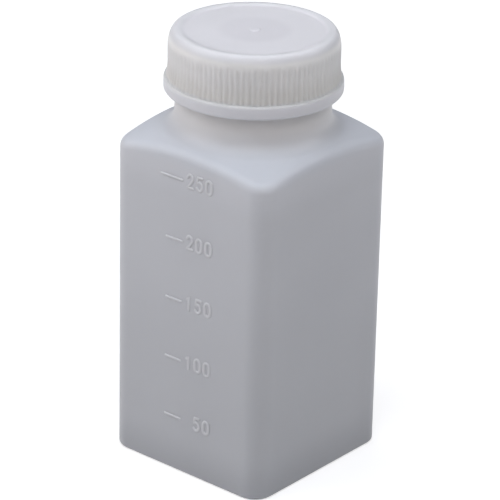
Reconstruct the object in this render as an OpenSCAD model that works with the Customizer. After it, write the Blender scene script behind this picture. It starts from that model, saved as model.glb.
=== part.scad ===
// Square wide-mouth media bottle of 250 ml: a blown bottle, a moulded screw cap and the
// sealing disc that the cap carries. Millimetres. +Z is up, the origin is on the resting
// plane under the middle of the neck, and the graduated side looks towards -Y.

/* [Body] */
// Width across two opposite sides
body_w = 55; // [52:0.5:60]
// Radius of the four upright corners
corner_r = 6; // [4:0.5:8]
// Height at which the middle of a side would meet the shoulder, before rounding
shoulder_h = 96.6; // [85:0.1:130]
// Radius of the ball that the domed shoulder is cut from
shoulder_ball_r = 104; // [90:1:120]
// Rounding between the sides and the shoulder
shoulder_round = 3; // [1.8:0.1:3.2]
// Rounding along the bottom edge
base_round = 1; // [0.8:0.1:2.2]
// Thickness of the blown wall
wall = 1.1; // [0.8:0.1:1.4]

/* [Base] */
// Width of the rim that the bottle stands on, at the middle of a side
foot_w = 5.5; // [4:0.5:8]
// Height of the pushed-up base panel over the standing rim
push_up = 2; // [1:0.25:3]
// Run of the panel's sloping edge for each millimetre of height
push_slope = 1.5; // [1:0.1:2]
// Length of the weld line that closes the blown tube under the base
weld_len = 34; // [20:1:44]
// Width of the weld line
weld_w = 0.9; // [0.6:0.1:1.4]
// Height of the weld line
weld_h = 0.4; // [0.2:0.1:0.6]

/* [Neck] */
// Height of the plain neck over the shoulder's edge
neck_h = 12.5; // [11:0.1:20]
// Hollow fillet between shoulder and neck
neck_fillet = 5.2; // [3:0.1:5.4]
// Height of the step from the plain neck in to the threaded part
collar_h = 1.2; // [0.8:0.1:1.6]
// How far the plain neck stands out past the crest of the thread
collar_out = 0.35; // [0.2:0.05:0.6]
// Height of the threaded part, from the plain neck to the sealing lip
finish_h = 13.5; // [12:0.1:16]
// Diameter at the root of the neck's thread
finish_d = 39.8; // [37:0.1:41]
// Thickness of the threaded part's wall at the root of the thread
finish_wall = 1.7; // [1.4:0.1:2.4]
// Chamfer on both edges of the sealing lip
lip_chamfer = 0.4; // [0.2:0.1:0.6]

/* [Thread] */
// Rise of the thread in one turn
thread_pitch = 4.23; // [3.8:0.01:4.6]
// Height of the thread ridge, from its root to its crest
thread_h = 1.35; // [1.1:0.05:1.5]
// Width of a thread ridge at its root
thread_root_w = 2.2; // [1.8:0.1:2.4]
// Width of a thread ridge at its crest
thread_crest_w = 0.8; // [0.5:0.1:1]
// Height of the middle of the thread's lower end over the collar's step
thread_start = 2.3; // [2.1:0.1:2.6]
// Depth of the middle of the thread's upper end under the sealing lip
thread_end = 2.6; // [2.5:0.1:4]
// Gap between one ridge's crest and the other piece's wall
thread_clear = 0.6; // [0.4:0.05:0.8]
// Play between the flanks that carry the closing force
thread_play = 0.3; // [0.15:0.05:0.5]

/* [Cap] */
// How far the cap's skirt reaches down past the top of the plain neck
skirt_lap = 1; // [0.8:0.1:3]
// Thickness of the cap's side, from the threaded bore to the tops of the grip ribs
side_t = 1.75; // [1.4:0.05:2.5]
// How far the grip flares out where it meets the bottom band
flare_out = 0.45; // [0.2:0.05:0.7]
// Height of the flared part of the grip
flare_h = 4.5; // [3:0.25:6]
// How far the smooth bottom band stands out past the grip
band_out = 1.1; // [1:0.05:2]
// Height of the smooth bottom band
band_h = 3.9; // [3:0.1:5]
// Rounding of the band's lower edge
band_round = 1.1; // [0.6:0.1:1.3]
// Easing of the band's upper edge, measured inwards
band_ease = 0.4; // [0.2:0.1:0.6]
// Number of grip ribs
rib_count = 96; // [48:4:120]
// Width of a grip rib
rib_w = 0.75; // [0.4:0.05:0.8]
// Height of a grip rib
rib_h = 0.3; // [0.15:0.05:0.4]
// Height of the rounded crown over the grip
crown_h = 4.7; // [3:0.02:5]
// How far the raised rim's outer edge lies inside the grip, seen from above
rim_inset = 2.1; // [1.5:0.1:3]
// Width of the raised rim's flat
rim_w = 0.8; // [0.4:0.1:1.5]
// Height of the rim over the top panel
rim_h = 0.36; // [0.2:0.02:0.6]
// Run of the slope from the rim down to the top panel
rim_slope = 2; // [1:0.1:3]
// Thickness of the top panel
panel_t = 1.4; // [1.2:0.1:2]
// Diameter of the moulding gate's mark in the middle of the panel
gate_d = 2.8; // [2:0.1:4]
// Height of the gate's mark
gate_h = 0.12; // [0.05:0.01:0.25]
// Gap between the cap's plain mouth and the neck
mouth_clear = 0.6; // [0.4:0.05:0.7]

/* [Sealing disc] */
// How far the sealing disc reaches out past the neck's lip
disc_over = 0.8; // [0.6:0.1:0.9]
// Thickness of the sealing disc
disc_t = 1; // [0.8:0.1:1.6]
// Gap round the disc in its pocket
disc_clear = 0.2; // [0.1:0.05:0.3]
// Gap between the disc and the sealing lip, and between the disc and its bead
seal_gap = 0.1; // [0.05:0.05:0.2]
// How far the bead reaches in under the disc
bead_reach = 0.35; // [0.2:0.05:0.35]
// Height of the bead that keeps the disc in the cap
bead_h = 0.8; // [0.6:0.1:1]

/* [Graduations] */
// Height of the lowest mark
mark_first = 16.7; // [10:0.1:24]
// Contents between two marks, in millilitres
mark_volume = 50; // [25:5:100]
// Length of a mark
mark_len = 5.5; // [3:0.1:6]
// Length of the highest mark, which shows the nominal contents
top_mark_len = 7.7; // [6:0.1:12]
// Breadth of a mark's line
mark_line = 0.5; // [0.3:0.05:0.8]
// How far a mark stands out of the side
mark_relief = 0.25; // [0.15:0.05:0.4]
// Place of the end at which all marks line up, sideways from the middle of the side
mark_end_x = -1.2; // [-6:0.1:16]

/* [Hidden] */
$fn = 180;
half_w = body_w / 2;
finish_r = finish_d / 2;
mouth_r = finish_r - finish_wall;
thread_r = finish_r + thread_h;
neck_r = thread_r + collar_out;
// Surfaces that would only touch are crossed by this much, so that they meet in a clean edge
lap = 0.01;
// The same where a side's arched rounding meets the ball, clear of the corners' own crossing
arch_lap = 0.03;
// Depth to which a raised detail is rooted in its wall
root = 0.3;
// Length by which a cutting form passes the surface that it cuts
over = 2;

// Heights and radii that follow from the sizes above
ball_z = shoulder_h - sqrt(pow(shoulder_ball_r, 2) - pow(half_w, 2));
corner_reach = (half_w - corner_r) * sqrt(2) + corner_r;
collar_z = shoulder_h + neck_h;
lip_z = collar_z + finish_h;
ceiling_z = lip_z + seal_gap + disc_t;
panel_z = ceiling_z + panel_t;
cap_top_z = panel_z + rim_h;
cap_base_z = collar_z - skirt_lap;
band_z = cap_base_z + band_h;
crown_z = cap_top_z - crown_h;
cap_bore_r = thread_r + thread_clear;
cap_crest_r = finish_r + thread_clear;
cap_mouth_r = neck_r + mouth_clear;
grip_r = cap_bore_r + side_t;
flare_r = grip_r + flare_out;
band_r = grip_r + band_out;
rim_r = grip_r - rim_inset;
disc_r = finish_r + disc_over;
pocket_r = disc_r + disc_clear;
bead_z = lip_z - bead_h;
thread_z = collar_z + collar_h + thread_start;
thread_deg = 360 * (finish_h - collar_h - thread_start - thread_end) / thread_pitch;
// Marks follow from the room inside, and the last is the highest that the flat side has room for
room_area = pow(body_w - 2 * wall, 2) - (4 - PI) * pow(corner_r - wall, 2);
mark_pitch = mark_volume * 1000 / room_area;
mark_count = 1 + floor((shoulder_h - shoulder_round - mark_first) / mark_pitch);
// Angle of the crown's curve at which the ribs have run out
rib_end_a = 27;
crown_step_a = 9;

// Unit vector at an angle
function unit(a) = [cos(a), sin(a)];

// Outline of the body seen from above
module rounded_square(half, r) {
    union() {
        square([2 * half, 2 * (half - r)], center = true);
        square([2 * (half - r), 2 * half], center = true);
        for (x = [-1, 1], y = [-1, 1])
            translate([x * (half - r), y * (half - r)]) circle(r = r);
    }
}

// What the rounding takes off between one side and the shoulder. It turns about a level axis
// through the centre of the shoulder's ball, so that it follows the arched edge of the side.
// The second coordinate of its outline is the distance along that axis.
module arched_edge_cut(turn, half, ball, rounding) {
    cy = half + lap - rounding;
    cx = sqrt(pow(ball - rounding + arch_lap, 2) - pow(cy, 2));
    t = [cx, cy] + rounding * unit(atan2(cy, cx));
    reach = ball + over;
    sweep = 2 * asin((half + over) / cx);
    rotate([0, 0, turn]) translate([0, 0, ball_z]) rotate([90, 0, 0])
        rotate_extrude(angle = sweep, start = 90 - sweep / 2) difference() {
            polygon([[cx, cy], [cx, half + over], [reach, half + over], [reach, t.y], t]);
            translate([cx, cy]) circle(r = rounding);
        }
}

// A pair of opposite sides as a straight form with rounded bottom edges
module foot_pair(turn, half, floor_z, rounding) {
    rotate([90, 0, turn]) linear_extrude(height = body_w + over, center = true) union() {
        polygon([[-half, cap_top_z], [-half, floor_z + rounding],
                 [rounding - half, floor_z + rounding], [rounding - half, floor_z],
                 [half - rounding, floor_z], [half - rounding, floor_z + rounding],
                 [half, floor_z + rounding], [half, cap_top_z]]);
        for (s = [-1, 1]) translate([s * (half - rounding), floor_z + rounding]) circle(r = rounding);
    }
}

// Half section of everything that is round: corners, shoulder, neck and finish
module turned_outline(inset, foot_rounding, neck_end_z, slope_h, top_r, top_z, chamfer) {
    ball = shoulder_ball_r - inset;
    rounding = shoulder_round - inset;
    reach = corner_reach - inset + lap;
    cr = reach - rounding;
    cz = ball_z + sqrt(pow(ball - rounding + lap, 2) - pow(cr, 2));
    t = [0, ball_z] + (ball + over) * unit(atan2(cz - ball_z, cr));
    fr = reach - foot_rounding;
    fz = inset + foot_rounding;
    // Centre of the hollow fillet, and where it leaves the ball
    nr = neck_r - inset;
    fillet = neck_fillet + inset;
    hr = nr + fillet;
    hz = ball_z + sqrt(pow(ball + fillet - lap, 2) - pow(hr, 2));
    h = [0, ball_z] + ball * unit(atan2(hz - ball_z, hr));
    union() {
        intersection() {
            translate([0, ball_z]) circle(r = ball);
            polygon([[0, inset], [fr, inset], [fr, fz], [reach, fz], [reach, cz],
                     [cr, cz], t, [t.x, ball_z + ball + over], [0, ball_z + ball + over]]);
        }
        intersection() {
            union() {
                translate([cr, cz]) circle(r = rounding);
                translate([fr, fz]) circle(r = foot_rounding);
            }
            translate([0, inset]) square([reach + over, ball]);
        }
        difference() {
            polygon([[0, h.y - over], h, [hr, hz], [nr, hz], [nr, neck_end_z],
                     [top_r, neck_end_z + slope_h], [top_r, top_z - abs(chamfer)],
                     [top_r - chamfer, top_z], [0, top_z]]);
            translate([hr, hz]) circle(r = fillet);
        }
    }
}

// The bottle's outer form with inset 0, or its inside with inset equal to the wall
module bottle_form(inset, foot_rounding, neck_end_z, slope_h, top_r, top_z, chamfer) {
    half = half_w - inset;
    ball = shoulder_ball_r - inset;
    rounding = shoulder_round - inset;
    difference() {
        intersection() {
            translate([0, 0, -over])
                linear_extrude(height = cap_top_z) rounded_square(half, corner_r - inset);
            foot_pair(0, half + lap, inset, foot_rounding);
            foot_pair(90, half + lap, inset, foot_rounding);
            rotate_extrude()
                turned_outline(inset, foot_rounding, neck_end_z, slope_h, top_r, top_z, chamfer);
        }
        arched_edge_cut(0, half, ball, rounding);
        arched_edge_cut(90, half, ball, rounding);
        arched_edge_cut(180, half, ball, rounding);
        arched_edge_cut(270, half, ball, rounding);
    }
}

// The pushed-up panel under the base, grown on all sides to shape the floor inside
module base_panel(grow) {
    half = half_w - foot_w + grow;
    intersection() {
        translate([0, 0, -over])
            linear_extrude(height = push_up + grow + over) rounded_square(half, corner_r);
        panel_slopes(0, half, grow);
        panel_slopes(90, half, grow);
    }
}

// The two opposite slopes of the panel's edge
module panel_slopes(turn, half, grow) {
    slack = half + grow * (sqrt(1 + pow(push_slope, 2)) - 1);
    top_z = push_up + grow + over;
    rotate([90, 0, turn]) linear_extrude(height = body_w, center = true)
        polygon([[-slack - push_slope * over, -over], [slack + push_slope * over, -over],
                 [slack - push_slope * top_z, top_z], [push_slope * top_z - slack, top_z]]);
}

// A right-hand thread ridge between a wall and a crest. Both ends sink into the wall.
module thread_ridge(wall_r, crest_r, mid_z) {
    steps = round(thread_deg / 10);
    fade = 4;
    out = sign(crest_r - wall_r);
    depth = abs(crest_r - wall_r);
    flank = (thread_root_w - thread_crest_w) / 2 / depth;
    base_w = thread_root_w / 2 + flank * root;
    crest_w = thread_crest_w / 2;
    rings = [for (i = [0:steps])
        let (a = i * thread_deg / steps, z = mid_z + thread_pitch * a / 360,
             lift = min(1, i / fade, (steps - i) / fade),
             rb = wall_r - out * root, rc = wall_r + out * (depth * lift - root / 2 * (1 - lift)))
        for (p = [[rb, -base_w], [rc, -crest_w], [rc, crest_w], [rb, base_w]])
            [p.x * cos(a), p.x * sin(a), z + p.y]];
    skin = [for (i = [0:steps - 1], k = [0:3])
        let (a = 4 * i + k, b = 4 * i + (k + 1) % 4) for (f = [[a, b, b + 4], [a, b + 4, a + 4]]) f];
    ends = [[3, 2, 1, 0], [for (k = [0:3]) 4 * steps + k]];
    faces = concat(skin, ends);
    polyhedron(points = rings, faces = out > 0 ? faces : [for (f = faces) reverse(f)]);
}

function reverse(list) = [for (i = [len(list) - 1:-1:0]) list[i]];

// Raised lines, one for each step of the contents
module graduation_marks() {
    for (i = [0:mark_count - 1])
        let (length = i == mark_count - 1 ? top_mark_len : mark_len, z = mark_first + i * mark_pitch)
            translate([mark_end_x - length, -half_w - mark_relief, z - mark_line / 2])
                cube([length, mark_relief + root, mark_line]);
}

// Inside of the bottle: the floor follows the pushed-up panel
module cavity() {
    difference() {
        bottle_form(wall, base_round, collar_z - collar_h, 2 * collar_h, mouth_r, lip_z + lip_chamfer,
                    -2 * lip_chamfer);
        base_panel(wall);
    }
}

module bottle() {
    color([0.78, 0.79, 0.81, 0.9]) {
        difference() {
            union() {
                bottle_form(0, base_round, collar_z, collar_h, finish_r, lip_z, lip_chamfer);
                thread_ridge(finish_r, thread_r, thread_z);
                graduation_marks();
            }
            cavity();
            base_panel(0);
        }
        rotate([0, 0, 45]) translate([-weld_len / 2, -weld_w / 2, push_up - weld_h])
            cube([weld_len, weld_w, weld_h + root]);
    }
}

// Point of the crown's curve, a quarter of an ellipse
function crown_point(a) =
    [rim_r + (grip_r - rim_r) * cos(a), crown_z + crown_h * sin(a)];

// Outer line of the grip from the band up to where the ribs run out
function grip_line() = concat(
    [[flare_r, band_z], [grip_r + flare_out / 4, band_z + flare_h * 0.6],
     [grip_r, band_z + flare_h]],
    [for (a = [0:crown_step_a:rib_end_a]) crown_point(a)]);

// The same line, sunk between the ribs and back on the crown at its upper end
function sunk_line() =
    let (line = grip_line(), last = len(line) - 1)
    [for (i = [0:last]) i < last ? line[i] - [rib_h, 0] : line[i]];

// Solid blank of the cap without ribs, thread and inside
module cap_blank() {
    band_edge = [band_r - band_round, cap_base_z + band_round];
    rotate_extrude() polygon(concat(
        [[0, cap_base_z]],
        [for (a = [-90:22.5:0]) band_edge + band_round * unit(a)],
        [[band_r, band_z - 3 * band_ease], [band_r - band_ease, band_z]],
        sunk_line(),
        [for (a = [rib_end_a + crown_step_a:crown_step_a:90]) crown_point(a)],
        [[rim_r - rim_w, cap_top_z], [rim_r - rim_w - rim_slope, panel_z], [gate_d / 2, panel_z],
         [gate_d / 2 - gate_h, panel_z + gate_h], [0, panel_z + gate_h]]));
}

// Upright grip ribs: one star-shaped outline, cut to the line of the grip
module grip_ribs() {
    inner = cap_bore_r + root;
    outer = band_r + over;
    intersection() {
        translate([0, 0, band_z - root]) linear_extrude(height = crown_z + crown_h - band_z) polygon(
            [for (i = [0:rib_count - 1]) let (a = i * 360 / rib_count)
                for (p = [[inner, -1], [outer, -1], [outer, 1], [inner, 1]])
                    let (spread = p.y * asin(rib_w / 2 / p.x)) p.x * unit(a + spread)]);
        rotate_extrude() polygon(concat([[inner, band_z - root], [flare_r, band_z - root]],
            grip_line(), [[inner, crown_point(rib_end_a).y]]));
    }
}

// Room inside the cap: plain mouth, threaded bore, bead and the disc's pocket
module cap_room() {
    step_z = collar_z + collar_h / 2;
    ease = cap_mouth_r - cap_bore_r + lap;
    rotate_extrude() polygon([
        [0, cap_base_z - over], [cap_mouth_r + root + over, cap_base_z - over], [cap_mouth_r, cap_base_z + root],
        [cap_mouth_r, step_z], [cap_bore_r, step_z + ease], [cap_bore_r, bead_z - bead_h],
        [pocket_r - bead_reach, bead_z], [pocket_r - bead_reach, bead_z + bead_h / 2],
        [pocket_r, lip_z], [pocket_r, ceiling_z], [0, ceiling_z]]);
}

module cap() {
    ridge_gap = (thread_root_w + thread_crest_w) / 2 + thread_play;
    color([0.86, 0.86, 0.88, 0.95]) union() {
        difference() {
            union() {
                cap_blank();
                grip_ribs();
            }
            cap_room();
        }
        thread_ridge(cap_bore_r, cap_crest_r, thread_z - ridge_gap);
    }
}

// Soft disc that the cap presses on the lip
module sealing_disc() {
    edge = disc_t / 4;
    color([0.95, 0.95, 0.93]) translate([0, 0, ceiling_z - disc_t]) rotate_extrude()
        polygon([[0, 0], [disc_r - edge, 0], [disc_r, edge], [disc_r, disc_t - edge],
                 [disc_r - edge, disc_t], [0, disc_t]]);
}

bottle();
cap();
sealing_disc();
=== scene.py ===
"""Looks of the square media bottle: blown body, ribbed screw cap, sealing disc and studio.

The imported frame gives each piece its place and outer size. Each sub-assembly is a class that
builds smooth skins in millimetres round the upright axis, rides them on their bodies and
dresses them.
"""
import logging
import math
from dataclasses import dataclass
from enum import Enum

import bpy
import numpy as np
from bpy.types import Material, Node, NodeSocket, NodeTree, Object
from mathutils import Matrix, Vector


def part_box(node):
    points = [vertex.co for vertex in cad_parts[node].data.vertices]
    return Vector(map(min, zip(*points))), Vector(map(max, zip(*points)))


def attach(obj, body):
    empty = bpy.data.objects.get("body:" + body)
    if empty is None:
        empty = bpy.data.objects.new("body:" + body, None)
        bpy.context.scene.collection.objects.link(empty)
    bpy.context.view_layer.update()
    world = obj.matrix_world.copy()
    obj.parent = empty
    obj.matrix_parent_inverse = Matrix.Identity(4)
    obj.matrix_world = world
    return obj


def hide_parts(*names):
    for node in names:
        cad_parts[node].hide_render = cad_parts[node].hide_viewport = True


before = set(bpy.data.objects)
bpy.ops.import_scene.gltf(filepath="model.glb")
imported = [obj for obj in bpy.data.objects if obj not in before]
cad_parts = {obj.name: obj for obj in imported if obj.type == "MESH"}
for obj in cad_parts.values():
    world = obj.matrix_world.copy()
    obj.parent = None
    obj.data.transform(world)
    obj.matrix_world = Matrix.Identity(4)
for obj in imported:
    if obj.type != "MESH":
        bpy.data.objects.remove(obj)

LOG = logging.getLogger("media_bottle")
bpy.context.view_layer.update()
MM = 0.001
FULL_TURN = 2 * math.pi
# Rise of both threads in one turn, in millimetres.
THREAD_RISE = 4.23
PLASTIC_IOR = 1.5
# Scales of the satin's textures in 1/m, and the usual range of its waves.
GRAIN_SCALE = 2600.0
WAVE_SCALE = 45.0
WAVE_RANGE = (0.3, 0.7)
WHITE = (1.0, 1.0, 1.0, 1.0)

Array = np.ndarray
Colour = tuple[float, float, float]
Feed = float | tuple[float, ...] | Node | NodeSocket
Feeds = dict[str | int, Feed]
Polygons = list[tuple[int, ...]]
Rings = list[Array]
Spot = tuple[float, float]
Profile = list[Spot]
Stops = tuple[tuple[float, Colour], ...]


# ---- Shapes shared by the pieces ----


def direction(azimuth: float, elevation: float) -> Vector:
    """Gives the unit vector towards an azimuth, 0 being -Y and 90 +X, and an elevation in degrees."""
    a, e = math.radians(azimuth), math.radians(elevation)
    return Vector((math.sin(a) * math.cos(e), -math.cos(a) * math.cos(e), math.sin(e)))


def smooth(t: Array | float) -> Array | float:
    """Eases a share between 0 and 1, so that it is level at both ends."""
    t = np.clip(t, 0.0, 1.0)
    return t * t * (3 - 2 * t)


def node_box(node: str) -> tuple[Vector, Vector]:
    """Gives a node's lowest and highest corner in millimetres."""
    low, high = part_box(node)
    return Vector(low) / MM, Vector(high) / MM


def arc(centre: Spot, radii: Spot, start: float, end: float,
        steps: int) -> Profile:
    """Gives points along an elliptic arc in the radius-height plane.

    Args:
        centre: Radius and height of the arc's centre.
        radii: Half axes of the ellipse, along the radius and along the height.
        start: Angle of the first point in degrees, 0 pointing outwards and 90 up.
        end: Angle of the last point in degrees.
        steps: Number of chords.

    Returns:
        The points as (radius, height), both ends included.
    """
    angles = [math.radians(start + (end - start) * i / steps) for i in range(steps + 1)]
    return [(centre[0] + radii[0] * math.cos(a), centre[1] + radii[1] * math.sin(a)) for a in angles]


def stretch(start: Spot, end: Spot, steps: int) -> Profile:
    """Gives evenly spaced points of a straight line, both ends included."""
    return [(start[0] + (end[0] - start[0]) * i / steps, start[1] + (end[1] - start[1]) * i / steps)
            for i in range(steps + 1)]


def ring(radius: Array | float, height: Array | float, angles: Array) -> Array:
    """Gives one ring of points round the axis, at one radius and height or at one for each angle."""
    level = np.broadcast_to(height, angles.shape)
    return np.stack([radius * np.cos(angles), radius * np.sin(angles), level], axis=1)


def at_height(spots: Array, height: float) -> Array:
    """Gives the ring of points over the given (x, y) spots, all at one height."""
    return np.column_stack([spots, np.full(len(spots), height)])


def shrunk(spots: Array, shares: tuple[float, ...]) -> Rings:
    """Gives copies of a level ring, drawn in towards the axis to each of the given shares."""
    return [spots * (share, share, 1.0) for share in shares]


def pole(height: float) -> Array:
    """Gives the single point on the axis that closes a skin."""
    return np.array([[0.0, 0.0, height]])


def turned(profile: Profile, angles: Array) -> Rings:
    """Gives the rings of a plain turned surface."""
    return [ring(radius, height, angles) for radius, height in profile]


def skin(name: str, rings: Rings) -> Object:
    """Makes a smooth mesh object from rings that run over the surface from pole to pole.

    Args:
        name: Name of the new object.
        rings: Point rings of equal length in millimetres, or single points at the poles. They
            start under the piece, or at its ceiling, and keep the material on their left.

    Returns:
        The object.
    """
    starts = np.cumsum([0] + [len(r) for r in rings])
    faces: Polygons = []
    for k, (low, high) in enumerate(zip(rings, rings[1:])):
        a, b = int(starts[k]), int(starts[k + 1])
        count = max(len(low), len(high))
        for i in range(count):
            j = (i + 1) % count
            if len(low) == 1:
                faces.append((a, b + j, b + i))
            elif len(high) == 1:
                faces.append((a + i, a + j, b))
            else:
                faces.append((a + i, a + j, b + j, b + i))
    return mesh_object(name, np.concatenate(rings), faces)


def mesh_object(name: str, points: Array, faces: Polygons) -> Object:
    """Makes a smooth mesh object.

    Args:
        name: Name of the new object.
        points: Its points, in millimetres.
        faces: The numbers of each face's points, anticlockwise from outside.

    Returns:
        The object.
    """
    mesh = bpy.data.meshes.new(name)
    mesh.from_pydata((points * MM).tolist(), [], faces)
    mesh.validate()
    mesh.shade_smooth()
    piece = bpy.data.objects.new(name, mesh)
    bpy.context.scene.collection.objects.link(piece)
    return piece


@dataclass(frozen=True)
class Helix:
    """A right-hand thread ridge on a round wall.

    Attributes:
        start_z: Height of the ridge's middle at its lower end, at angle 0.
        turns: Length of the ridge in turns.
        rise: Rise in one turn.
        root_w: Width at the root.
        crest_w: Width at the crest.
        depth: Height of the ridge over its wall.
        fade: Part of a turn over which each end runs out.
    """

    start_z: float
    turns: float
    rise: float = THREAD_RISE
    root_w: float = 2.2
    crest_w: float = 0.8
    depth: float = 1.35
    fade: float = 0.11

    def height_at(self, angles: Array, level: float) -> Array:
        """Gives the ridge's height over its wall, for each angle at one level.

        Args:
            angles: Angles round the axis in radians.
            level: Height over the resting plane.

        Returns:
            One height for each angle, 0 where there is no ridge.
        """
        best = np.zeros_like(angles)
        first = np.mod(angles, FULL_TURN) / FULL_TURN
        for lap in range(math.ceil(self.turns) + 1):
            turn = first + lap
            away = np.abs(level - self.start_z - self.rise * turn)
            flank = (self.root_w / 2 - away) / ((self.root_w - self.crest_w) / 2)
            ends = smooth(turn / self.fade) * smooth((self.turns - turn) / self.fade)
            best = np.maximum(best, smooth(flank) * ends)
        return best * self.depth


@dataclass(frozen=True)
class Face:
    """A flat face that carries raised lines: a point on it and its two directions."""

    origin: Vector
    across: Vector
    along: Vector

    def place(self, spots: Array) -> Array:
        """Turns rows of (across, along, height over the face) into points in the bottle's frame."""
        axes = np.array([self.across, self.along, self.across.cross(self.along)])
        return np.array(self.origin) + spots @ axes


@dataclass(frozen=True)
class Ridge:
    """Cross-section of a raised, softly rounded line.

    Attributes:
        half_w: Half of the line's width at the wall.
        height: Height over the wall.
        sunk: Depth to which the line is rooted in the wall.
        steps: Chords over the line's back.
    """

    half_w: float
    height: float
    sunk: float = 0.25
    steps: int = 8

    def sweep(self, face: Face, path: Array, closed: bool) -> tuple[Array, Polygons]:
        """Runs the section along a path on a face, with domed ends on an open path.

        Args:
            face: The face that the line stands on.
            path: Points (across, along) of the line's middle.
            closed: Whether the path runs back into its start.

        Returns:
            The points and the faces of the line's mesh.
        """
        if closed:
            heading = np.roll(path, -1, axis=0) - np.roll(path, 1, axis=0)
            scale = np.ones(len(path))
        else:
            dome = np.radians([80, 60, 40, 20])
            lead = self.half_w * np.sin(dome)[:, None]
            first, last = path[0] - path[1], path[-1] - path[-2]
            head = path[0] + lead * first / np.linalg.norm(first)
            tail = path[-1] + lead[::-1] * last / np.linalg.norm(last)
            scale = np.concatenate([np.cos(dome), np.ones(len(path)), np.cos(dome)[::-1]])
            path = np.concatenate([head, path, tail])
            heading = np.gradient(path, axis=0)
        heading = heading / np.linalg.norm(heading, axis=1)[:, None]
        side = np.stack([heading[:, 1], -heading[:, 0]], axis=1)
        reach = side * (self.half_w * scale)[:, None]
        back = [np.column_stack([path + math.cos(a) * reach, self.height * math.sin(a) * scale])
                for a in np.linspace(math.pi, 0, self.steps + 1)]
        rows = np.stack([*back, *(at_height(path + s * reach, -self.sunk) for s in (1, -1))], axis=1)
        count, width = rows.shape[:2]
        spans = count if closed else count - 1
        faces = [(i * width + k, i * width + (k + 1) % width,
                  (i + 1) % count * width + (k + 1) % width, (i + 1) % count * width + k)
                 for i in range(spans) for k in range(width)]
        if not closed:
            faces += [tuple(range(width))[::-1], tuple((count - 1) * width + k for k in range(width))]
        return face.place(rows.reshape(-1, 3)), faces


Lines = list[tuple[Ridge, Array, bool]]


def raised_lines(name: str, face: Face, lines: Lines) -> Object:
    """Makes one object of several raised lines on a face.

    Args:
        name: Name of the new object.
        face: The face that the lines stand on.
        lines: Section, path and whether the path is closed, for each line.

    Returns:
        The object.
    """
    points: list[Array] = []
    faces: Polygons = []
    start = 0
    for ridge, path, closed in lines:
        spots, polygons = ridge.sweep(face, path, closed)
        points.append(spots)
        faces += [tuple(start + k for k in polygon) for polygon in polygons]
        start += len(spots)
    return mesh_object(name, np.concatenate(points), faces)


# ---- Finishes ----


def feed(node: Node, feeds: Feeds) -> None:
    """Sets or links inputs of a shader node.

    Args:
        node: The node.
        feeds: Value, output socket or node whose first output counts, for each input by its name
            or number.
    """
    for place, value in feeds.items():
        if isinstance(value, Node):
            value = value.outputs[0]
        if isinstance(value, NodeSocket):
            node.id_data.links.new(value, node.inputs[place])
        else:
            node.inputs[place].default_value = value


def add_node(tree: NodeTree, kind: str, feeds: Feeds | None = None, **settings: object) -> Node:
    """Adds a shader node to a tree.

    Args:
        tree: The node tree.
        kind: Type of the node, without the common prefix.
        feeds: What its inputs get.
        settings: The node's own settings, by name.

    Returns:
        The node.
    """
    node = tree.nodes.new(f"ShaderNode{kind}")
    for setting, value in settings.items():
        setattr(node, setting, value)
    feed(node, feeds or {})
    return node


def colour_ramp(tree: NodeTree, value: NodeSocket, stops: Stops, ending: float = 1.0) -> Node:
    """Adds a soft ramp that turns a length into a colour.

    Args:
        tree: The node tree.
        value: The length, in metres.
        stops: Lengths in millimetres and the colours there, in rising order.
        ending: Alpha of the last stop.

    Returns:
        The ramp's node.
    """
    low, high = stops[0][0], stops[-1][0]
    level = add_node(tree, "MapRange", {"Value": value, "From Min": low * MM, "From Max": high * MM})
    node = add_node(tree, "ValToRGB", {"Fac": level})
    ramp = node.color_ramp
    ramp.interpolation = "EASE"
    while len(ramp.elements) < len(stops):
        ramp.elements.new(0.5)
    for stop, (length, colour) in zip(ramp.elements, stops):
        stop.position = (length - low) / (high - low)
        stop.color = (*colour, 1.0)
    ramp.elements[-1].alpha = ending
    return node


def object_place(tree: NodeTree) -> NodeSocket:
    """Adds a node that gives the place in the piece's own frame, in metres."""
    return add_node(tree, "TexCoord").outputs["Object"]


def new_material(name: str) -> tuple[Material, NodeTree, Node]:
    """Makes a material.

    Args:
        name: Its name.

    Returns:
        The material, its node tree and its shader.
    """
    made = bpy.data.materials.new(name)
    made.use_nodes = True
    return made, made.node_tree, made.node_tree.nodes["Principled BSDF"]


class Shared(Enum):
    """Effects that more than one finish uses, each a shader node group."""

    CLOUDS = "wall_clouds"
    SATIN = "mould_satin"


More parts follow.
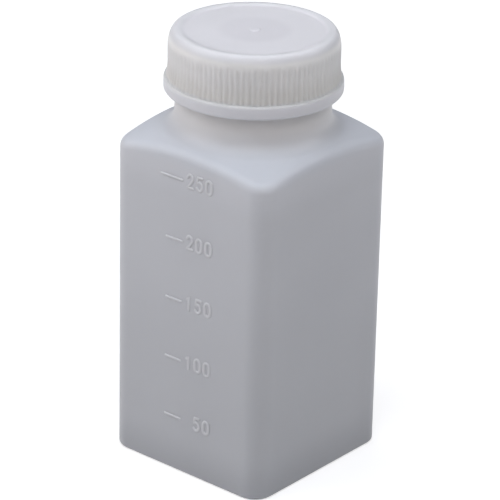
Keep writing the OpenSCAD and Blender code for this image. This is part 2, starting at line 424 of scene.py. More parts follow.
class Effects:
    """Builds the shared node groups once and keeps them for the materials."""

    def __init__(self) -> None:
        """Builds every group."""
        self.groups = {Shared.CLOUDS: self._clouds(), Shared.SATIN: self._satin()}

    @staticmethod
    def _new(effect: Shared, inputs: tuple[str, ...],
             outputs: tuple[str, ...]) -> tuple[NodeTree, dict[str, NodeSocket], Node]:
        """Makes an empty group, in which the socket that is called Colour holds a colour.

        Args:
            effect: The effect that the group is for.
            inputs: Names of its inputs.
            outputs: Names of its outputs.

        Returns:
            The group, what its inputs give and its output node.
        """
        group = bpy.data.node_groups.new(effect.value, "ShaderNodeTree")
        for in_out, names in (("INPUT", inputs), ("OUTPUT", outputs)):
            for name in names:
                kind = "NodeSocketColor" if name == "Colour" else "NodeSocketFloat"
                group.interface.new_socket(name, in_out=in_out, socket_type=kind)
        given = dict(zip(inputs, group.nodes.new("NodeGroupInput").outputs))
        return group, given, group.nodes.new("NodeGroupOutput")

    def _clouds(self) -> NodeTree:
        """Makes milky plastic a little denser in soft clouds and drawn-out streaks.

        Returns:
            The group.
        """
        group, given, result = self._new(
            Shared.CLOUDS, ("Colour", "Size", "Stretch", "Depth"), ("Colour",))
        axes = add_node(group, "CombineXYZ", {"X": 1.0, "Y": 1.0, "Z": given["Stretch"]})
        drawn = add_node(group, "VectorMath", {0: object_place(group), 1: axes}, operation="MULTIPLY")
        clouds = add_node(group, "TexNoise", {
            "Vector": drawn, "Scale": given["Size"], "Detail": 3.0, "Roughness": 0.45})
        dark = add_node(group, "Math", {0: clouds, 1: given["Depth"]}, operation="MULTIPLY")
        light = add_node(group, "Math", {0: 1.0, 1: dark}, operation="SUBTRACT")
        tint = add_node(group, "VectorMath", {0: given["Colour"], "Scale": light}, operation="SCALE")
        feed(result, {"Colour": tint})
        return group

    def _satin(self) -> NodeTree:
        """Makes the fine grain of a blasted mould, with waves of a wall that cooled unevenly.

        Returns:
            The group.
        """
        group, given, result = self._new(
            Shared.SATIN, ("Wave Share", "Smooth", "Rough"), ("Height", "Roughness"))
        place = object_place(group)
        grain, waves = (
            add_node(group, "TexNoise", {"Vector": place, "Scale": scale, "Detail": detail})
            for scale, detail in ((GRAIN_SCALE, 2.0), (WAVE_SCALE, 1.0)))
        height = add_node(group, "Mix", {"Factor": given["Wave Share"], "A": grain, "B": waves})
        gloss = add_node(group, "MapRange", {
            "Value": waves, "From Min": WAVE_RANGE[0], "From Max": WAVE_RANGE[1],
            "To Min": given["Smooth"], "To Max": given["Rough"]})
        feed(result, {"Height": height, "Roughness": gloss})
        return group


@dataclass(frozen=True)
class Polyethylene:
    """A milky, satin polyethylene as it comes from the mould.

    Attributes:
        name: Name of the material.
        bands: Heights in millimetres and the colour there, from the bottom up; on the bottle and the
            cap these colours also paint light and shade by height.
        middle: Distances from the axis in millimetres and the colour there, laid over the bands
            and fading out towards the last one; empty for none. On the cap it paints the top's panel
            lighter than the rim, as painted light.
        cloud_scale: Scale of the clouds, in 1/m.
        stretch: How much the clouds are drawn out upwards; 1 is round.
        cloud_depth: How much the densest cloud darkens the wall.
        smooth: Lowest roughness.
        rough: Highest roughness.
        grain_h: Height of the mould's grain.
        wave_share: Share of soft waves in the grain.
        scatter: Weight of the light that scatters inside the wall.
        scatter_reach: Distance to which it scatters.
    """

    name: str
    bands: Stops
    middle: Stops = ()
    cloud_scale: float = 50.0
    stretch: float = 1.0
    cloud_depth: float = 0.05
    smooth: float = 0.36
    rough: float = 0.5
    grain_h: float = 0.02
    wave_share: float = 0.4
    scatter: float = 0.6
    scatter_reach: float = 3.0

    def wall_colour(self, tree: NodeTree) -> NodeSocket:
        """Adds the ramps that take the colour from the place on the wall.

        Args:
            tree: The material's node tree.

        Returns:
            The colour of the wall.
        """
        place = object_place(tree)
        parts = add_node(tree, "SeparateXYZ", {0: place})
        wall = colour_ramp(tree, parts.outputs["Z"], self.bands).outputs["Color"]
        if not self.middle:
            return wall
        level = add_node(tree, "VectorMath", {0: place, 1: (1.0, 1.0, 0.0)}, operation="MULTIPLY")
        reach = add_node(tree, "VectorMath", {0: level}, operation="LENGTH")
        middle = colour_ramp(tree, reach.outputs["Value"], self.middle, ending=0.0)
        both = {"Factor": middle.outputs["Alpha"], "A": wall, "B": middle}
        return add_node(tree, "Mix", both, data_type="RGBA").outputs["Result"]

    def material(self, effects: Effects) -> Material:
        """Builds the material.

        Args:
            effects: The shared node groups.

        Returns:
            The new material.
        """
        made, tree, shader = new_material(self.name)
        clouds = add_node(tree, "Group", node_tree=effects.groups[Shared.CLOUDS])
        satin = add_node(tree, "Group", node_tree=effects.groups[Shared.SATIN])
        feed(clouds, {"Colour": self.wall_colour(tree), "Size": self.cloud_scale,
                      "Stretch": self.stretch, "Depth": self.cloud_depth})
        feed(satin, {"Wave Share": self.wave_share, "Smooth": self.smooth, "Rough": self.rough})
        bump = add_node(tree, "Bump", {"Height": satin, "Distance": self.grain_h * MM})
        feed(shader, {
            "Base Color": clouds, "Roughness": satin.outputs["Roughness"], "Normal": bump,
            "IOR": PLASTIC_IOR, "Subsurface Weight": self.scatter,
            "Subsurface Radius": (1.0, 1.0, 1.0), "Subsurface Scale": self.scatter_reach * MM})
        return made


@dataclass(frozen=True)
class Foam:
    """Matt, closed-cell foam of the sealing disc.

    Attributes:
        name: Name of the material.
        wall: Colour of the walls between the cells.
        cell: Colour in the cells.
        cell_scale: Scale of the cells, in 1/m.
        cell_h: Depth of the cells.
        rough: Roughness of the surface.
    """

    name: str
    wall: Colour = (0.86, 0.86, 0.83)
    cell: Colour = (0.7, 0.7, 0.68)
    cell_scale: float = 1800.0
    cell_h: float = 0.05
    rough: float = 0.8

    def material(self) -> Material:
        """Builds the material, with cells that dent and darken the surface a little.

        Returns:
            The new material.
        """
        made, tree, shader = new_material(self.name)
        cells = add_node(tree, "TexVoronoi", {"Vector": object_place(tree), "Scale": self.cell_scale})
        bump = add_node(tree, "Bump", {"Height": cells, "Distance": self.cell_h * MM})
        tint = add_node(tree, "Mix", data_type="RGBA")
        feed(tint, {"Factor": cells, "A": (*self.cell, 1.0), "B": (*self.wall, 1.0)})
        feed(shader, {
            "Base Color": tint.outputs["Result"], "Roughness": self.rough, "Normal": bump})
        return made


def dress(piece: Object, material: Material, body: str) -> None:
    """Gives a piece its material and its body.

    Args:
        piece: The piece.
        material: Its material.
        body: The CAD body that it rides on.
    """
    piece.data.materials.append(material)
    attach(piece, body)
    LOG.info("%s: %d faces on %s", piece.name, len(piece.data.polygons), body)


# ---- The blown bottle ----


@dataclass(frozen=True)
class Plan:
    """Stations round the rounded-square plan of the body.

    Attributes:
        half: Half of the width across two sides.
        corner_r: Radius of the upright corners.
        side_steps: Chords along a flat side.
        corner_steps: Chords round a corner.
    """

    half: float
    corner_r: float
    side_steps: int = 28
    corner_steps: int = 14

    def stations(self) -> tuple[Array, Array]:
        """Works out the stations, anticlockwise.

        Returns:
            The points on the outline and their outward normals.
        """
        reach = self.half - self.corner_r
        rise = [-reach * math.cos(math.pi * i / self.side_steps) for i in range(self.side_steps + 1)]
        turns = [math.pi / 2 * i / self.corner_steps for i in range(1, self.corner_steps)]
        around = np.array([(math.cos(a), math.sin(a)) for a in turns])
        points = np.array([*((self.half, y) for y in rise), *(reach + self.corner_r * around)])
        normals = np.array([*((1.0, 0.0) for _ in rise), *around])
        quarters = [np.array(Matrix.Rotation(k * math.pi / 2, 2)).T for k in range(4)]
        points, normals = (np.concatenate([part @ q for q in quarters]) for part in (points, normals))
        return points, normals


@dataclass
class Bottle:
    """The blown bottle: square body, domed shoulder, round neck with its thread, and the base.

    All lengths are in millimetres. Those that the frame holds come from it.
    """

    body: str = "bottle"
    slot: str = "bottle"
    corner_r: float = 6.0
    ball_r: float = 104.0
    shoulder_drop: float = 26.0
    edge_r: float = 3.0
    foot_r: float = 1.0
    wall: float = 1.1
    foot_w: float = 5.5
    push_up: float = 2.0
    push_slope: float = 1.5
    panel_corner_r: float = 1.2
    weld_len: float = 34.0
    weld_ridge: Ridge = Ridge(half_w=0.45, height=0.4)
    neck_r: float = 21.6
    neck_fillet: float = 5.2
    collar_h: float = 1.2
    collar_ease: float = 0.2
    finish_h: float = 13.5
    finish_r: float = 19.9
    mouth_r: float = 18.2
    lip_ease: float = 0.4
    thread_start: float = 2.3
    thread_end: float = 2.6
    thread_rows: int = 44
    neck_hang: float = 2.0
    seam: float = 0.01
    wall_steps: int = 18
    edge_steps: int = 12
    shoulder_steps: int = 14
    fillet_steps: int = 9

    def __post_init__(self) -> None:
        """Takes the width and the height from the frame."""
        low, high = node_box("bottle")
        self.half = (high.x - low.x) / 2
        self.lip_z = high.z
        self.collar_z = self.lip_z - self.finish_h
        self.shoulder_z = self.lip_z - self.shoulder_drop
        self.ball_z = self.shoulder_z - math.sqrt(self.ball_r ** 2 - self.half ** 2)
        self.points, self.normals = Plan(self.half, self.corner_r).stations()
        self.angles = np.arctan2(self.points[:, 1], self.points[:, 0])
        self.fillet_r = self.neck_r + self.neck_fillet
        reach = self.ball_r + self.neck_fillet
        self.fillet_z = self.ball_z + math.sqrt(reach ** 2 - self.fillet_r ** 2)
        thread_h = self.finish_h - self.collar_h - self.thread_start - self.thread_end
        self.thread = Helix(start_z=self.collar_z + self.collar_h + self.thread_start,
                            turns=thread_h / THREAD_RISE)

    def outline(self, inset: float, height: float) -> Array:
        """Gives the ring of the body's outline, drawn in by a distance, at one height."""
        return at_height(self.points - inset * self.normals, height)

    def foot_rings(self, inset: float, start: float, end: float, steps: int) -> Rings:
        """Makes the rings of the rounded foot.

        Args:
            inset: How far the surface lies inside the outer one.
            start: Angle of the first ring in degrees, -90 under the foot and 0 on the wall.
            end: Angle of the last ring in degrees.
            steps: Number of chords.

        Returns:
            The rings from the start to the end.
        """
        middle = inset + self.foot_r
        bend = arc((middle, middle), (-self.foot_r, self.foot_r), start, end, steps)
        return [self.outline(reach, height) for reach, height in bend]

    def panel_rings(self, inset: float, low_z: float, shares: Array) -> Rings:
        """Makes the rings of the slope to the raised panel, whose corners get sharper upwards.

        Args:
            inset: How far the slope's foot lies inside the body's outline.
            low_z: Height of the slope's foot.
            shares: Places on the slope, 0 at the foot and 1 at the top.

        Returns:
            One ring for each share.
        """
        rings: Rings = []
        for share in shares:
            reach = self.half - inset - self.push_slope * self.push_up * share
            corner_r = self.corner_r + (self.panel_corner_r - self.corner_r) * share
            rings.append(at_height(Plan(reach, corner_r).stations()[0],
                                   low_z + self.push_up * smooth(share)))
        return rings

    def dome_z(self, radius: Array | float, inset: float) -> Array | float:
        """Works out the shoulder's height, from its ball into the hollow fillet under the neck.

        Args:
            radius: Distance from the axis.
            inset: How far the surface lies inside the outer one.

        Returns:
            The height over the resting plane.
        """
        ball = self.ball_r - inset
        fillet = self.neck_fillet + inset
        meet = self.fillet_r * ball / (self.ball_r + self.neck_fillet)
        on_ball = self.ball_z + np.sqrt(ball ** 2 - np.minimum(radius, ball) ** 2)
        rest = np.maximum(fillet ** 2 - (self.fillet_r - radius) ** 2, 0)
        return np.where(radius >= meet, on_ball, self.fillet_z - np.sqrt(rest))

    def body_rings(self, inset: float, low_z: float) -> Rings:
        """Makes the rings of the body's wall, from over the foot up to the plain neck.

        Args:
            inset: How far the surface lies inside the outer one.
            low_z: Height of the lowest ring.

        Returns:
            The rings from the bottom up.
        """
        centres = self.points - self.edge_r * self.normals
        reach = np.linalg.norm(centres, axis=1)
        centre_z = self.ball_z + np.sqrt((self.ball_r - self.edge_r) ** 2 - reach ** 2)
        outward = at_height(self.normals, 0.0)
        middle = np.column_stack([centres, centre_z])
        upward = middle - np.array([0, 0, self.ball_z])
        upward /= np.linalg.norm(upward, axis=1)[:, None]
        rings: Rings = []
        for share in np.linspace(0, 1, self.wall_steps + 1)[:-1]:
            wall = self.outline(inset, low_z)
            wall[:, 2] += (centre_z - low_z) * share
            rings.append(wall)
        opening = np.arccos(np.sum(outward * upward, axis=1))[:, None]
        for share in np.linspace(0, 1, self.edge_steps + 1):
            facing = np.sin((1 - share) * opening) * outward + np.sin(share * opening) * upward
            rings.append(middle + (self.edge_r - inset) * facing / np.sin(opening))
        edge = rings[-1][:, :2]
        inner_r = self.neck_r + self.neck_fillet / 2
        target = ring(inner_r, 0.0, self.angles)[:, :2]
        for share in np.linspace(0, 1, self.shoulder_steps + 1)[1:]:
            spots = edge + (target - edge) * share
            height = self.dome_z(np.linalg.norm(spots, axis=1), inset)
            rings.append(np.column_stack([spots, height]))
        fillet = self.neck_fillet + inset
        start = 180 + math.degrees(math.acos((self.fillet_r - inner_r) / fillet))
        hollow = arc((self.fillet_r, self.fillet_z), (fillet, fillet), start, 180, self.fillet_steps)
        return rings + turned(hollow[1:], self.angles)

    def under_rings(self) -> Rings:
        """Makes the rings under the base, from the middle over the pushed-up panel to the foot.

        Returns:
            The rings from the middle outwards.
        """
        slope = self.panel_rings(self.foot_w, 0.0, np.linspace(1, 0, 10))
        inner, outer = slope[-1], self.outline(self.foot_r, 0.0)
        return [pole(self.push_up), *shrunk(slope[0], (0.15, 0.35, 0.55, 0.75, 0.9)), *slope,
                *(inner + (outer - inner) * share for share in (0.35, 0.7)),
                *self.foot_rings(0.0, -90, 0, 8)]

    def floor_rings(self) -> Rings:
        """Makes the rings of the floor inside, from the foot of the wall over the raised panel.

        Returns:
            The rings from the wall inwards.
        """
        low = self.foot_w - self.wall * (math.hypot(1, self.push_slope) - self.push_slope)
        slope = self.panel_rings(low, self.wall, np.linspace(0, 1, 9))
        return [*self.foot_rings(self.wall, 0, -90, 6), *slope, *shrunk(slope[-1], (0.8, 0.55, 0.3)),
                pole(self.wall + self.push_up)]

    def neck_rings(self) -> Rings:
        """Makes the rings of the neck, the collar's step, the thread, the lip and the way back in.

        Returns:
            The rings from the shoulder up over the lip and down the inside.
        """
        ease, lip = self.collar_ease, self.lip_ease
        low_z, step_z = self.collar_z - ease, self.collar_z + self.collar_h
        lip_z, inner_r = self.lip_z - lip, self.neck_r - self.wall
        rings = turned([*stretch((self.neck_r, self.fillet_z), (self.neck_r, low_z), 5)[1:],
                        *arc((self.neck_r - ease, low_z), (ease, ease), 0, 60, 3)[1:],
                        *arc((self.finish_r + ease, step_z + ease), (ease, ease), 225, 180, 3)],
                       self.angles)
        for level in np.linspace(step_z + 2 * ease, lip_z, self.thread_rows):
            radius = self.finish_r + self.thread.height_at(self.angles, level)
            rings.append(ring(radius, level, self.angles))
        return rings + turned([*arc((self.finish_r - lip, lip_z), (lip, lip), 10, 90, 5),
                               *arc((self.mouth_r + lip, lip_z), (lip, lip), 90, 180, 5),
                               *stretch((self.mouth_r, lip_z), (self.mouth_r, step_z), 6)[1:],
                               (inner_r, self.collar_z - self.collar_h),
                               (inner_r, self.fillet_z + self.neck_hang)], self.angles)

    def build(self) -> Object:
        """Makes the bottle's skin, outside and inside in one closed surface.

        Returns:
            The new piece.
        """
        foot_z = self.foot_r + self.seam
        outside = self.body_rings(0.0, foot_z)
        inside = self.body_rings(self.wall, self.wall + foot_z)
        return skin("bottle_body", [*self.under_rings(), *outside, *self.neck_rings(),
                                    *reversed(inside), *self.floor_rings()])

    def build_weld(self) -> Object:
        """Makes the weld line that closes the blown tube, across the base from corner to corner.

        Returns:
            The new piece.
        """
        slant = math.sqrt(0.5)
        across, along = Vector((-slant, slant, 0)), Vector((slant, slant, 0))
        face = Face(Vector((0, 0, self.push_up)), across, along)
        path = np.array(stretch((0, -self.weld_len / 2), (0, self.weld_len / 2), 24))
        return raised_lines("base_weld", face, [(self.weld_ridge, path, False)])

    def dress(self, effects: Effects) -> None:
        """Builds the pieces, gives them their finish, whose colours by height paint light and shade,
        and lets them stand for the CAD bottle.

        Args:
            effects: The shared node groups.
        """
        # Colours by height, partly painted light and shade: darker towards the foot as painted shade,
        # lighter on the arched edge and the shoulder as painted light where they face up, and lighter
        # on the neck up to the lip as painted light that lifts the cap's shade.
        foot, low, wall, arch_painted_light, shoulder, neck, lip = (
            (0.455, 0.465, 0.49), (0.545, 0.555, 0.58), (0.60, 0.61, 0.64), (0.64, 0.65, 0.685),
            (0.63, 0.65, 0.695), (0.785, 0.775, 0.77), (0.90, 0.89, 0.88))
        finish = Polyethylene(
            name="blown_polyethylene", cloud_scale=28.0, stretch=0.35, cloud_depth=0.08,
            bands=((0.0, foot), (14.0, low), (self.shoulder_z - 14, wall), (self.shoulder_z - 5, arch_painted_light),
                   (self.shoulder_z - 1, shoulder), (self.collar_z - 4, neck),
                   (self.collar_z, lip), (self.lip_z, lip)))
        material = finish.material(effects)
        body = self.build()
        for piece in (body, self.build_weld()):
            dress(piece, material, self.body)
        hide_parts("bottle")


# ---- Graduations ----


class Digit(Enum):
    """The digits that the scale needs. Each is drawn in a box that is 1 wide and 1 high."""

    ZERO = "0"
    ONE = "1"
    TWO = "2"
    FIVE = "5"

    @staticmethod
    def bow(centre: Spot, radii: Spot, start: float, end: float) -> Profile:
        """Gives points along a bow of the digit, with a chord for each 15 degrees or so."""
        return arc(centre, radii, start, end, max(3, round(abs(end - start) / 15)))

    def stroke(self) -> Profile:
        """Draws the digit in one stroke.

        Returns:
            The stroke's points; the zero's run back into their start.
        """
        if self is Digit.ZERO:
            upper = self.bow((0.5, 0.7), (0.5, 0.3), 0, 180)
            return upper + self.bow((0.5, 0.3), (0.5, 0.3), 180, 360)
        if self is Digit.ONE:
            return [(0.22, 0.78), (0.38, 0.88), (0.52, 1.0), (0.52, 0.66), (0.52, 0.33), (0.52, 0.0)]
        if self is Digit.TWO:
            head = self.bow((0.5, 0.72), (0.48, 0.28), 165, -35)
            return [*head, (0.48, 0.28), (0.02, 0.0), (0.35, 0.0), (0.68, 0.0), (1.0, 0.0)]
        bowl = self.bow((0.46, 0.32), (0.52, 0.32), 125, -150)
        return [(0.92, 1.0), (0.55, 1.0), (0.18, 1.0), (0.12, 0.76), (0.07, 0.53), *bowl]


@dataclass
class Graduations:
    """Raised marks and plain numbers on the side that looks towards -Y."""

    body: str = "bottle"
    slot: str = "bottle"
    first_z: float = 16.7
    step: float = 18.07
    count: int = 5
    volume_step: int = 50
    mark_end_x: float = -1.2
    mark_len: float = 5.5
    top_mark_len: float = 7.7
    mark_ridge: Ridge = Ridge(half_w=0.4, height=0.25)
    digit_ridge: Ridge = Ridge(half_w=0.45, height=0.2)
    digit_w: float = 1.9
    digit_h: float = 3.8
    digit_pitch: float = 3.35
    right_x: float = 9.7
    rise_z: float = 0.35

    def number_lines(self, number: int, level: float) -> Lines:
        """Draws one number, set so that its last digit ends at the common right edge.

        Args:
            number: The number to draw.
            level: Height of the mark that it belongs to.

        Returns:
            Section, path and whether the path is closed, for each digit.
        """
        lines: Lines = []
        for place, figure in enumerate(reversed(str(number))):
            left = self.right_x - self.digit_ridge.half_w - self.digit_w - place * self.digit_pitch
            low = level + self.rise_z - self.digit_h / 2
            digit = Digit(figure)
            path = np.array(digit.stroke()) * (self.digit_w, self.digit_h) + (left, low)
            lines.append((self.digit_ridge, path, digit is Digit.ZERO))
        return lines

    def dress(self, effects: Effects, side_y: float) -> None:
        """Builds the marks and the numbers, and gives them their finish.

        Args:
            effects: The shared node groups.
            side_y: Where the outside of the marked side is.
        """
        face = Face(Vector((0, side_y, 0)), Vector((1, 0, 0)), Vector((0, 0, 1)))
        marks: Lines = []
        numbers: Lines = []
        for i in range(self.count):
            level = self.first_z + i * self.step
            length = self.top_mark_len if i == self.count - 1 else self.mark_len
            path = np.array(stretch((self.mark_end_x - length, level), (self.mark_end_x, level), 10))
            marks.append((self.mark_ridge, path, False))
            numbers += self.number_lines((i + 1) * self.volume_step, level)
        # The marks are paler than the wall around them, a painted highlight on the raised strokes.
        pale = (0.645, 0.65, 0.67)
        finish = Polyethylene(
            name="raised_polyethylene", bands=((0.0, pale), (100.0, pale)), cloud_scale=60.0,
            smooth=0.45, rough=0.55, scatter=0.0)
        material = finish.material(effects)
        dress(raised_lines("volume_marks", face, marks), material, self.body)
        dress(raised_lines("volume_numbers", face, numbers), material, self.body)


# ---- The screw cap and its disc ----


@dataclass
class ScrewCap:
    """The moulded cap: smooth band, fine grip ribs, rounded crown, raised rim and the inside.

    All lengths are in millimetres. Names that end in _in are distances inwards from the band.
    """

    body: str = "cap"
    slot: str = "cap"
    rib_count: int = 96
    rib_h: float = 0.3
    rib_turn: tuple[float, ...] = (0.0, 0.17, 0.33, 0.5, 0.67, 0.83)
    rib_depth: tuple[float, ...] = (1.0, 0.88, 0.18, 0.0, 0.18, 0.88)
    grip_in: float = 1.1
    flare_in: float = 0.65
    flare_h: float = 4.5
    band_h: float = 3.9
    band_round: float = 1.1
    band_ease: float = 0.4
    band_ease_h: float = 1.0
    flare_lip: float = 0.06
    flare_share: float = 0.85
    crown_h: float = 4.7
    rib_end: float = 30.0
    rim_inset: float = 2.1
    rim_w: float = 0.8
    rim_h: float = 0.36
    rim_slope: float = 2.0
    gate_r: float = 1.4
    gate_h: float = 0.12
    gate_edge: float = 0.03
    mouth_r: float = 22.2
    mouth_h: float = 1.6
    mouth_ease: float = 0.3
    mouth_slope: float = 0.4
    bore_r: float = 21.85
    pocket_r: float = 20.9
    bead_reach: float = 0.35
    bead_h: float = 0.8
    bead_ease: float = 0.1
    pocket_ease: float = 0.15
    thread_start: float = 2.7
    thread_turns: float = 1.75
    thread_rows: int = 40

    def __post_init__(self) -> None:
        """Takes the outer sizes from the frame, and the ceiling from the disc under it."""
        low, high = node_box("cap")
        self.base_z, self.top_z = low.z, high.z
        self.band_r = (high.x - low.x) / 2
        self.ceiling_z = node_box("sealing_disc")[1].z
        self.lip_z = node_box("bottle")[1].z
        self.grip_r = self.band_r - self.grip_in
        self.rim_r = self.grip_r - self.rim_inset
        self.panel_r = self.rim_r - self.rim_w - self.rim_slope
        turns = np.arange(self.rib_count)[:, None] + np.array(self.rib_turn)
        self.angles = turns.ravel() / self.rib_count * FULL_TURN
        self.valley = np.tile(self.rib_depth, self.rib_count)
        self.thread = Helix(start_z=self.base_z + self.thread_start, turns=self.thread_turns)

    def ribbed(self, radius: float, height: float, amount: float) -> Array:
        """Gives a ring whose valleys between the ribs are cut to a share of their full depth."""
        return ring(radius - self.rib_h * amount * self.valley, height, self.angles)

    def inner_rings(self) -> Rings:
        """Makes the rings of the inside: ceiling, disc's pocket, bead, thread and mouth.

        Returns:
            The rings from the middle of the ceiling down to the mouth.
        """
        bead_z = self.lip_z - self.bead_h
        bead_r = self.pocket_r - self.bead_reach
        low_z = bead_z - self.bead_h
        mouth_z = self.base_z + self.mouth_h
        rings = [pole(self.ceiling_z)]
        rings += turned([*((self.pocket_r * share, self.ceiling_z) for share in (0.2, 0.5, 0.8, 0.98)),
                         (self.pocket_r, self.ceiling_z - self.pocket_ease),
                         (self.pocket_r, self.lip_z), (bead_r, bead_z + self.bead_h / 2),
                         (bead_r, bead_z), (self.bore_r - self.bead_ease, low_z + self.bead_ease)],
                        self.angles)
        for level in np.linspace(low_z, mouth_z + self.mouth_slope, self.thread_rows):
            radius = self.bore_r - self.thread.height_at(self.angles, level)
            rings.append(ring(radius, level, self.angles))
        return rings + turned([(self.mouth_r, mouth_z), (self.mouth_r, self.base_z + self.mouth_ease),
                               (self.mouth_r + self.mouth_ease, self.base_z)], self.angles)

    def side_rings(self) -> Rings:
        """Makes the rings of the outside from the band's lower edge up over the ribbed crown.

        Returns:
            The rings from the bottom up.
        """
        ease, edge = self.band_ease, self.band_round
        band_z, crown_z = self.base_z + self.band_h, self.top_z - self.crown_h
        flare_z, flare_r = band_z + self.flare_h, self.band_r - self.flare_in
        low_z, high_z = self.base_z + edge, band_z - self.band_ease_h
        sole_r = (self.mouth_r + self.mouth_ease + self.band_r - edge) / 2
        rings = turned([(sole_r, self.base_z),
                        *arc((self.band_r - edge, low_z), (edge, edge), -90, 0, 8),
                        *stretch((self.band_r, low_z), (self.band_r, high_z), 4)[1:],
                        *arc((self.band_r - ease, high_z), (ease, self.band_ease_h), 0, 90, 8)[1:]],
                       self.angles)
        rings.append(self.ribbed(flare_r + self.flare_lip, band_z, self.flare_share))
        for share in np.linspace(0.02, 1, 9):
            radius = self.grip_r + (flare_r - self.grip_r) * (1 - share) ** 2
            rings.append(self.ribbed(radius, band_z + self.flare_h * share, 1.0))
        for share in np.linspace(0, 1, 6)[1:]:
            rings.append(self.ribbed(self.grip_r, flare_z + (crown_z - flare_z) * share, 1.0))
        for degrees in np.linspace(0, 90, 19)[1:]:
            turn = math.radians(degrees)
            rings.append(self.ribbed(self.rim_r + self.rim_inset * math.cos(turn),
                                     crown_z + self.crown_h * math.sin(turn),
                                     1 - smooth(degrees / self.rib_end)))
        return rings

    def top_rings(self) -> Rings:
        """Makes the rings of the raised rim, the sunk panel and the gate mark.

        Returns:
            The rings from the rim inwards.
        """
        panel_z, rim_in = self.top_z - self.rim_h, self.rim_r - self.rim_w
        gate_z, hair = panel_z + self.gate_h, self.gate_edge
        gate_in = self.gate_r - self.gate_h
        rim = [(self.rim_r - self.rim_w * share, self.top_z) for share in (0.5, 1.0)]
        slope = [(rim_in - self.rim_slope * share, self.top_z - self.rim_h * smooth(share))
                 for share in np.linspace(0, 1, 9)[1:]]
        panel = [(self.panel_r * share, panel_z) for share in (0.9, 0.75, 0.6, 0.45, 0.3, 0.18, 0.1)]
        gate = [(self.gate_r + hair, panel_z), (self.gate_r, panel_z + hair), (gate_in, gate_z),
                (gate_in - hair, gate_z), (self.gate_r * 0.5, gate_z)]
        return [*turned([*rim, *slope, *panel, *gate], self.angles), pole(gate_z)]

    def dress(self, effects: Effects) -> None:
        """Builds the cap, gives it its finish, whose colours paint light and shade, and lets it stand
        for the CAD cap.

        Args:
            effects: The shared node groups.
        """
        # Colours by height and by distance from the axis, partly painted light and shade: the crease
        # at the band's step is darker as painted shade, the crown is lighter as painted light where it
        # turns up, the rim is darker as painted shade over the highlight on its crest, and the top's
        # panel is lighter than the rim as painted light.
        band, crease_painted_shade, skirt, crown, rim, panel, core = (
            (0.69, 0.69, 0.715), (0.65, 0.65, 0.645), (0.69, 0.675, 0.645), (0.87, 0.855, 0.83),
            (0.70, 0.695, 0.71), (0.83, 0.805, 0.845), (0.775, 0.75, 0.79))
        band_z, panel_r = self.base_z + self.band_h, self.panel_r
        finish = Polyethylene(
            name="moulded_polyethylene", smooth=0.3, rough=0.42, scatter=1.0, scatter_reach=4.5,
            wave_share=0.15,
            bands=((self.base_z, band), (band_z - 1, band), (band_z, crease_painted_shade), (band_z + 1, skirt),
                   (self.top_z - self.crown_h - 1.5, crown), (self.top_z - 2.6, crown),
                   (self.top_z - 1.0, rim), (self.top_z, rim)),
            middle=((0.0, core), (panel_r * 0.4, core), (panel_r * 0.62, panel), (panel_r, panel),
                    (panel_r + self.rim_slope, panel)))
        cap = skin("cap_shell", [*self.inner_rings(), *self.side_rings(), *self.top_rings()])
        dress(cap, finish.material(effects), self.body)
        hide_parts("cap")


@dataclass
class SealingDisc:
    """The soft disc between the cap's ceiling and the lip."""

    body: str = "seal"
    slot: str = "sealing_disc"
    steps: int = 120
    ease: float = 0.25

    def dress(self) -> None:
        """Builds the disc with eased edges and lets it stand for the CAD disc."""
        low, high = node_box("sealing_disc")
        radius, ease = (high.x - low.x) / 2, self.ease
        angles = np.linspace(0, FULL_TURN, self.steps, endpoint=False)
        profile = [*((radius * share, low.z) for share in (0.3, 0.6, 0.85)),
                   *arc((radius - ease, low.z + ease), (ease, ease), -90, 0, 4),
                   *arc((radius - ease, high.z - ease), (ease, ease), 0, 90, 4),
                   *((radius * share, high.z) for share in (0.85, 0.6, 0.3))]
        disc = skin("foam_disc", [pole(low.z), *turned(profile, angles), pole(high.z)])
        dress(disc, Foam(name="polyethylene_foam").material(), self.body)
        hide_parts("sealing_disc")


# ---- The studio ----


@dataclass(frozen=True)
class SoftBox:
    """A square area lamp that looks at the bottle.

    Attributes:
        name: Name of the lamp.
        azimuth: Direction from the bottle, in degrees; 0 is -Y and 90 is +X.
        elevation: Height over the horizon, in degrees.
        power: Its power in watts.
        colour: Its colour.
        distance: Distance from the bottle's middle, in metres.
        size: Length of the lamp's side, in metres.
    """

    name: str
    azimuth: float
    elevation: float
    power: float
    colour: Colour
    distance: float = 0.7
    size: float = 0.5

    def place(self, target: Vector) -> None:
        """Makes the lamp and turns it towards a point.

        Args:
            target: The point, in metres.
        """
        lamp = bpy.data.lights.new(self.name, "AREA")
        lamp.shape = "SQUARE"
        lamp.size = self.size
        lamp.energy = self.power
        lamp.color = self.colour
        holder = bpy.data.objects.new(self.name, lamp)
        back = direction(self.azimuth, self.elevation)
        holder.location = target + back * self.distance
        holder.rotation_euler = (-back).to_track_quat("-Z", "Y").to_euler()
        holder.visible_camera = False
        bpy.context.scene.collection.objects.link(holder)


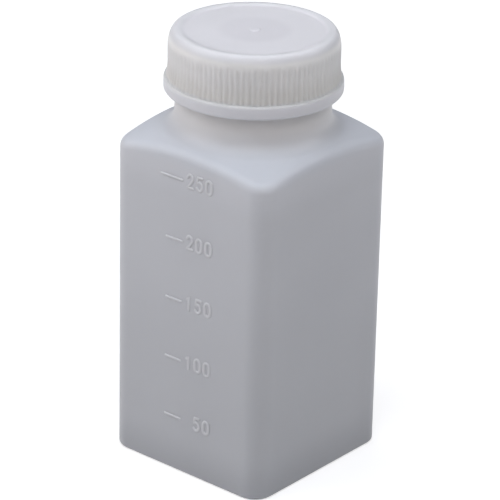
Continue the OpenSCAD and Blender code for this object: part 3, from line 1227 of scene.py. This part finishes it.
@dataclass
class Studio:
    """Pale floor, plain surroundings, soft lamps and the camera.

    Lengths are in metres, but the camera's sensor and lens and the gap under the bottle in
    millimetres.
    """

    azimuth: float = 40.0
    elevation: float = 24.17
    roll: float = 1.25
    distance: float = 0.83635
    side_shift: float = -0.00003
    look_z: float = 0.0597
    lens: float = 215.47
    sensor: float = 36.0
    clip: Spot = (0.05, 20.0)
    floor_half: float = 3.0
    floor_gap: float = 0.05
    floor_colour: Colour = (0.62, 0.62, 0.62)
    floor_rough: float = 0.9
    floor_gloss: float = 0.1
    floor_lift: float = 0.58
    lift_from: float = 0.15
    lift_full: float = 0.7
    surround: float = 0.03
    boxes: tuple[SoftBox, ...] = (
        SoftBox("top_box", azimuth=40, elevation=70, power=1.46, colour=(0.74, 0.88, 1.0)),
        SoftBox("front_box", azimuth=40, elevation=42, power=1.42, colour=(1.0, 0.9, 0.87)),
        SoftBox("left_box", azimuth=-38, elevation=42, power=1.96, colour=(0.9, 0.93, 1.0)),
        SoftBox("low_left_box", azimuth=-60, elevation=12, power=0.72, colour=(1.0, 0.85, 0.75)),
        SoftBox("back_left_box", azimuth=-125, elevation=56, power=1.25, colour=(0.95, 0.95, 1.0)),
        SoftBox("back_right_box", azimuth=125, elevation=46, power=1.5, colour=(0.95, 0.95, 1.0)),
    )

    def camera(self) -> None:
        """Makes the camera, aims it at the bottle and makes it the scene's own."""
        azimuth, roll = math.radians(self.azimuth), math.radians(self.roll)
        back = direction(self.azimuth, self.elevation)
        level = Vector((math.cos(azimuth), math.sin(azimuth), 0))
        up = level.cross(-back)
        side = level * math.cos(roll) + up * math.sin(roll)
        top = up * math.cos(roll) - level * math.sin(roll)
        data = bpy.data.cameras.new("bottle_camera")
        data.sensor_width = self.sensor
        data.lens = self.lens
        data.clip_start, data.clip_end = self.clip
        camera = bpy.data.objects.new("bottle_camera", data)
        place = level * self.side_shift + Vector((0, 0, self.look_z)) + back * self.distance
        turn = Matrix((side, top, back)).transposed()
        camera.matrix_world = Matrix.Translation(place) @ turn.to_4x4()
        bpy.context.scene.collection.objects.link(camera)
        bpy.context.scene.camera = camera

    def floor(self) -> None:
        """Makes the pale floor, which shines up to white where the camera or a gloss sees it."""
        half, low = self.floor_half / MM, -self.floor_gap
        corners = ((-half, -half, low), (half, -half, low), (half, half, low), (-half, half, low))
        floor = mesh_object("floor", np.array(corners), [(0, 1, 2, 3)])
        made, tree, shader = new_material("pale_floor")
        rays = add_node(tree, "LightPath").outputs
        eyes = {0: rays["Is Camera Ray"], 1: rays["Is Glossy Ray"]}
        seen = add_node(tree, "Math", eyes, operation="MAXIMUM")
        reach = add_node(tree, "VectorMath", {0: object_place(tree)}, operation="LENGTH")
        rise = add_node(tree, "MapRange", {
            "Value": reach.outputs["Value"], "From Min": self.lift_from, "From Max": self.lift_full,
            "To Min": self.floor_lift}, interpolation_type="SMOOTHSTEP")
        lift = add_node(tree, "Math", {0: seen, 1: rise}, operation="MULTIPLY")
        feed(shader, {
            "Base Color": (*self.floor_colour, 1.0), "Roughness": self.floor_rough,
            "Specular IOR Level": self.floor_gloss, "Emission Color": WHITE,
            "Emission Strength": lift})
        floor.data.materials.append(made)

    def world(self) -> None:
        """Makes the plain surroundings: white where they are seen, darker as light."""
        world = bpy.data.worlds.new("studio_world")
        world.use_nodes = True
        bpy.context.scene.world = world
        tree = world.node_tree
        rays = add_node(tree, "LightPath")
        level = add_node(tree, "MapRange", {
            "Value": rays.outputs["Is Camera Ray"], "To Min": self.surround, "To Max": 1.0})
        feed(tree.nodes["Background"], {"Color": WHITE, "Strength": level})

    def build(self) -> None:
        """Sets up the whole studio and the plain view transform."""
        self.camera()
        self.floor()
        self.world()
        target = Vector((0, 0, self.look_z))
        for box in self.boxes:
            box.place(target)
            LOG.info("%s: %.2f W", box.name, box.power)
        bpy.context.scene.view_settings.view_transform = "Standard"


def main() -> None:
    """Builds the studio and the dressed bottle, one sub-assembly after the other."""
    logging.basicConfig(level=logging.INFO, format="%(name)s %(message)s")
    Studio().build()
    effects = Effects()
    bottle = Bottle()
    bottle.dress(effects)
    Graduations().dress(effects, -bottle.half)
    ScrewCap().dress(effects)
    SealingDisc().dress()


if __name__ == "__main__":
    main()
